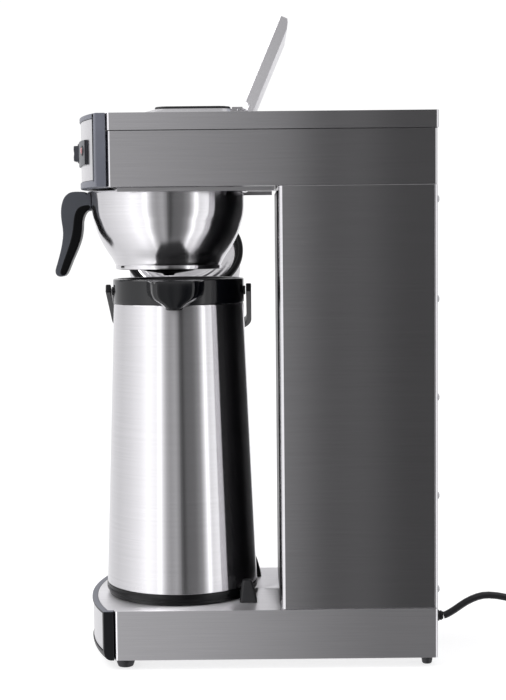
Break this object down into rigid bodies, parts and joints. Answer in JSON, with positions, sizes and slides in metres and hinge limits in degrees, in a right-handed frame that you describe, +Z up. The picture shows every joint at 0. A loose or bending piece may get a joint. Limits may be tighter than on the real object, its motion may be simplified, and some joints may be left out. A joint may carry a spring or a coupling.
{
  "type": "commercial coffee brewer",
  "caption": "Stainless C-frame coffee brewer with a slide-out brew basket, a hinged fill lid and a pump airpot standing open beneath it.",
  "frame": {"origin": "bottom centre of the brewer's box, without its cord", "axes": "+Z up, -Y is the brewer's front, +X is its right side seen from the rear"},
  "size_m": [0.3214, 0.6566, 0.6914],
  "materials": {
    "base_steel": "brushed stainless, satin",
    "tower_steel": "brushed stainless, satin",
    "head_steel": "brushed stainless, satin",
    "plate_steel": "plain mill-finish stainless",
    "lid_steel": "brushed stainless, light",
    "front_plate": "bright satin metal",
    "bowl_steel": "polished stainless",
    "pot_steel": "polished stainless",
    "dish_steel": "polished stainless",
    "fastener": "bright steel",
    "heater": "dull heater sheath",
    "head_bezel": "dark blue-grey, fine texture",
    "base_bezel": "near-black, fine texture",
    "switch_plastic": "dark grey, smooth",
    "black_plastic": "black, smooth",
    "collar": "black, glossy",
    "handle": "charcoal, satin",
    "rubber": "black rubber",
    "liner": "grey moulded liner",
    "silicone": "translucent silicone",
    "cord": "black jacket, slightly glossy",
    "lamp": "red lens"
  },
  "bodies": {
    "frame": {"base_shell": "base_steel", "base_bottom_plate": "plate_steel", "base_front_bezel": "base_bezel", "base_front_plate": "front_plate", "foot_front_left": "rubber", "foot_front_right": "rubber", "foot_rear_left": "rubber", "foot_rear_right": "rubber", "pot_guide_left": "rubber", "pot_guide_right": "rubber", "tower_shell": "tower_steel", "tower_front_panel": "black_plastic", "rear_panel": "tower_steel", "rear_screw_left": "fastener", "rear_screw_right": "fastener", "water_tank": "plate_steel", "tank_lid": "plate_steel", "tank_shelf": "plate_steel", "heating_element": "heater", "thermostat": "black_plastic", "spray_head": "plate_steel", "brew_tube": "silicone", "inlet_tube": "silicone", "water_basin": "black_plastic", "head_shell": "head_steel", "head_top_cover": "head_steel", "head_front_bezel": "head_bezel", "head_front_plate": "front_plate", "switch_panel": "switch_plastic", "pilot_lamp": "lamp", "switch_body": "black_plastic", "fill_rim": "front_plate", "fill_gasket": "rubber", "fill_hinge_pin": "fastener", "basket_rail_left": "plate_steel", "basket_rail_right": "plate_steel", "cord_gland": "black_plastic", "power_cord": "cord", "cord_coil": "cord", "power_plug": "cord"},
    "fill_lid": {"fill_lid_shell": "lid_steel", "fill_lid_liner": "liner"},
    "rocker": {"power_rocker": "switch_plastic"},
    "basket": {"basket_bowl": "bowl_steel", "basket_dripper": "black_plastic", "filter_rack": "fastener", "basket_handle": "handle"},
    "airpot": {"airpot_base_ring": "black_plastic", "airpot_shell": "pot_steel", "airpot_liner": "plate_steel", "siphon_tube": "silicone", "airpot_collar": "collar", "airpot_hinge_pin": "fastener", "airpot_spout": "collar"},
    "bail": {"airpot_bail": "handle"},
    "airpot_lid": {"airpot_lid_ring": "black_plastic", "airpot_lid_dish": "dish_steel", "airpot_lid_cap": "pot_steel", "pump_valve": "silicone"},
    "pump": {"pump_button": "black_plastic"}
  },
  "joints": [
    {"name": "fill_lid_hinge", "type": "hinge", "parent": "frame", "child": "fill_lid", "pos_m": [0.05586, -0.0021, 0.593], "axis": [1, 0, 0], "range_deg": [0, 113]},
    {"name": "basket_slide", "type": "slide", "parent": "frame", "child": "basket", "axis": [0, -1, 0], "range_m": [0, 0.19]},
    {"name": "rocker_tilt", "type": "hinge", "parent": "frame", "child": "rocker", "pos_m": [0.05586, -0.1783, 0.5518], "axis": [1, 0, 0], "range_deg": [-8, 8]},
    {"name": "airpot_slide", "type": "slide", "parent": "frame", "child": "airpot", "axis": [0, -1, 0], "range_m": [0, 0.21]},
    {"name": "bail_swing", "type": "hinge", "parent": "airpot", "child": "bail", "pos_m": [0.05586, -0.0716, 0.4], "axis": [0, 1, 0], "range_deg": [0, 10]},
    {"name": "airpot_lid_hinge", "type": "hinge", "parent": "airpot", "child": "airpot_lid", "pos_m": [-0.02114, -0.0716, 0.4005], "axis": [0, 1, 0], "range_deg": [0, 34]},
    {"name": "pump_press", "type": "slide", "parent": "airpot_lid", "child": "pump", "axis": [0.7071, 0, 0.7071], "range_m": [0, 0.008], "stiffness_N_per_m": 300}
  ]
}
